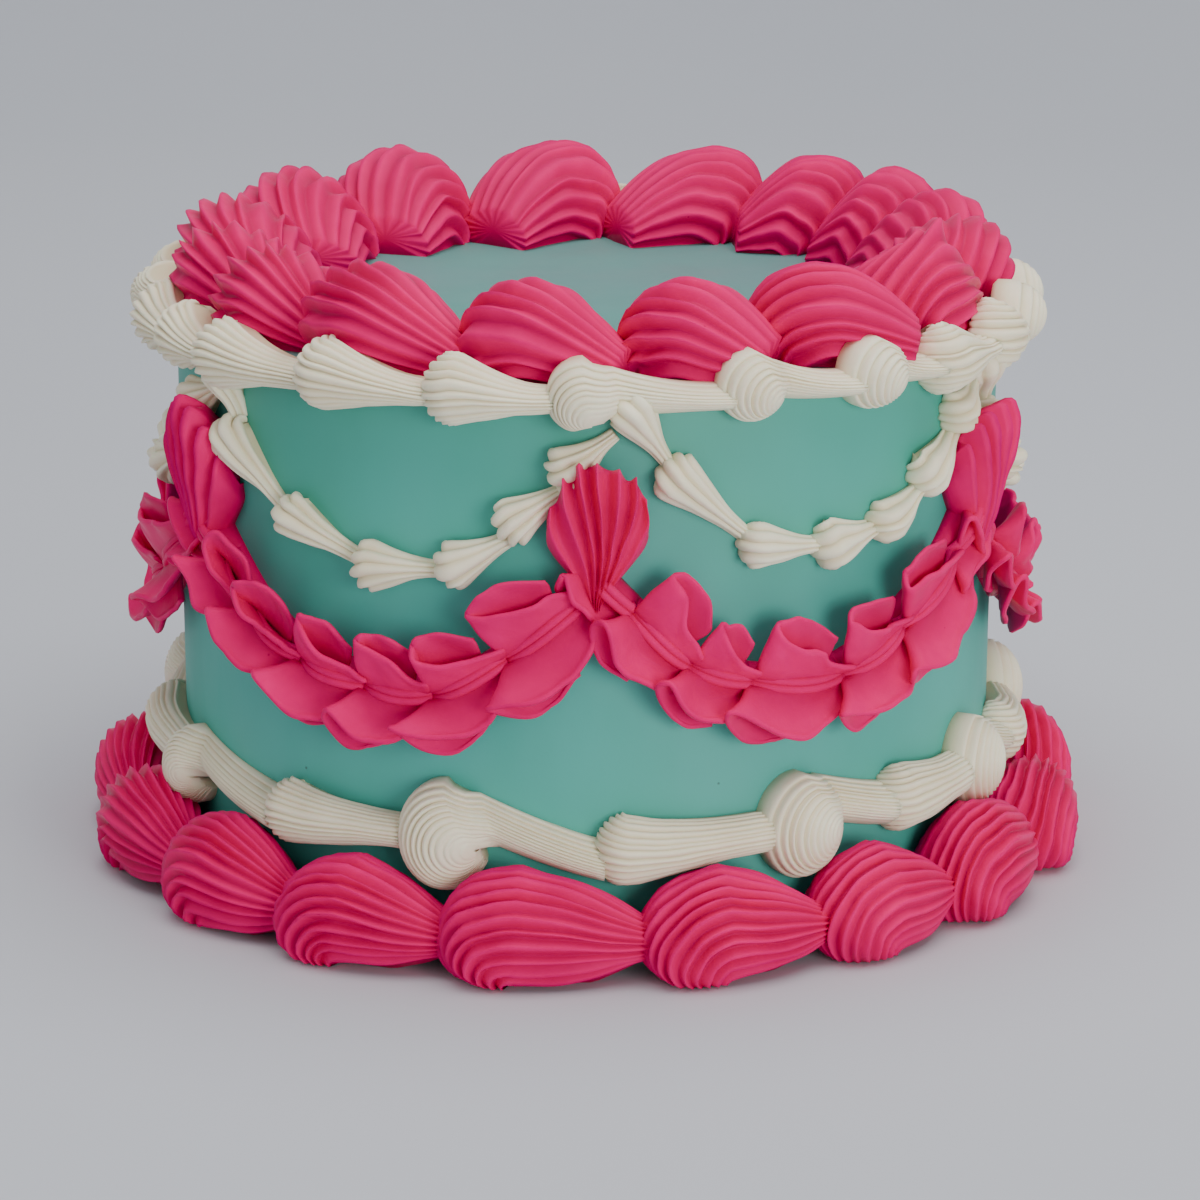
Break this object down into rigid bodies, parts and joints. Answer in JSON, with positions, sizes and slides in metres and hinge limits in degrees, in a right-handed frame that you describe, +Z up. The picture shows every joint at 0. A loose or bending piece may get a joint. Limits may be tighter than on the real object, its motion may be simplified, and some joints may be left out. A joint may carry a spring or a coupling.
{
  "type": "layer cake",
  "caption": "Round layer cake in smooth teal icing with piped pink shells round the top and foot, white shell and scroll borders, white swags, pink ruffles and drop shells.",
  "frame": {"origin": "centre of the cake's flat underside, on the surface it stands on", "axes": "+Z up along the cake's axis, -Y towards the front, where the pictured joint of two swags lies, +X to the right seen from the front"},
  "size_m": [0.1995, 0.1985, 0.1285],
  "materials": {
    "teal_icing": "smooth dull teal buttercream, a little greyer on the top face",
    "pink_icing": "soft hot pink buttercream with a faint sheen on the ridges and tiny pits",
    "white_icing": "soft ivory buttercream, yellower in its fine grooves"
  },
  "bodies": {
    "root": {"base_shell_01": "pink_icing", "base_shell_02": "pink_icing", "base_shell_03": "pink_icing", "base_shell_04": "pink_icing", "base_shell_05": "pink_icing", "base_shell_06": "pink_icing", "base_shell_07": "pink_icing", "base_shell_08": "pink_icing", "base_shell_09": "pink_icing", "base_shell_10": "pink_icing", "base_shell_11": "pink_icing", "base_shell_12": "pink_icing", "base_shell_13": "pink_icing", "base_shell_14": "pink_icing", "base_shell_15": "pink_icing", "base_shell_16": "pink_icing", "cake": "teal_icing", "drop_shell_1": "pink_icing", "drop_shell_2": "pink_icing", "drop_shell_3": "pink_icing", "drop_shell_4": "pink_icing", "drop_shell_5": "pink_icing", "drop_shell_6": "pink_icing", "rim_border_1": "white_icing", "rim_border_2": "white_icing", "rim_border_3": "white_icing", "rim_border_4": "white_icing", "ruffle_1": "pink_icing", "ruffle_2": "pink_icing", "ruffle_3": "pink_icing", "ruffle_4": "pink_icing", "ruffle_5": "pink_icing", "ruffle_6": "pink_icing", "scroll_border_1": "white_icing", "scroll_border_2": "white_icing", "scroll_border_3": "white_icing", "scroll_border_4": "white_icing", "swag_1": "white_icing", "swag_2": "white_icing", "swag_3": "white_icing", "swag_4": "white_icing", "swag_5": "white_icing", "swag_6": "white_icing", "top_shell_01": "pink_icing", "top_shell_02": "pink_icing", "top_shell_03": "pink_icing", "top_shell_04": "pink_icing", "top_shell_05": "pink_icing", "top_shell_06": "pink_icing", "top_shell_07": "pink_icing", "top_shell_08": "pink_icing", "top_shell_09": "pink_icing", "top_shell_10": "pink_icing", "top_shell_11": "pink_icing", "top_shell_12": "pink_icing", "top_shell_13": "pink_icing", "top_shell_14": "pink_icing", "top_shell_15": "pink_icing", "top_shell_16": "pink_icing"}
  },
  "joints": []
}
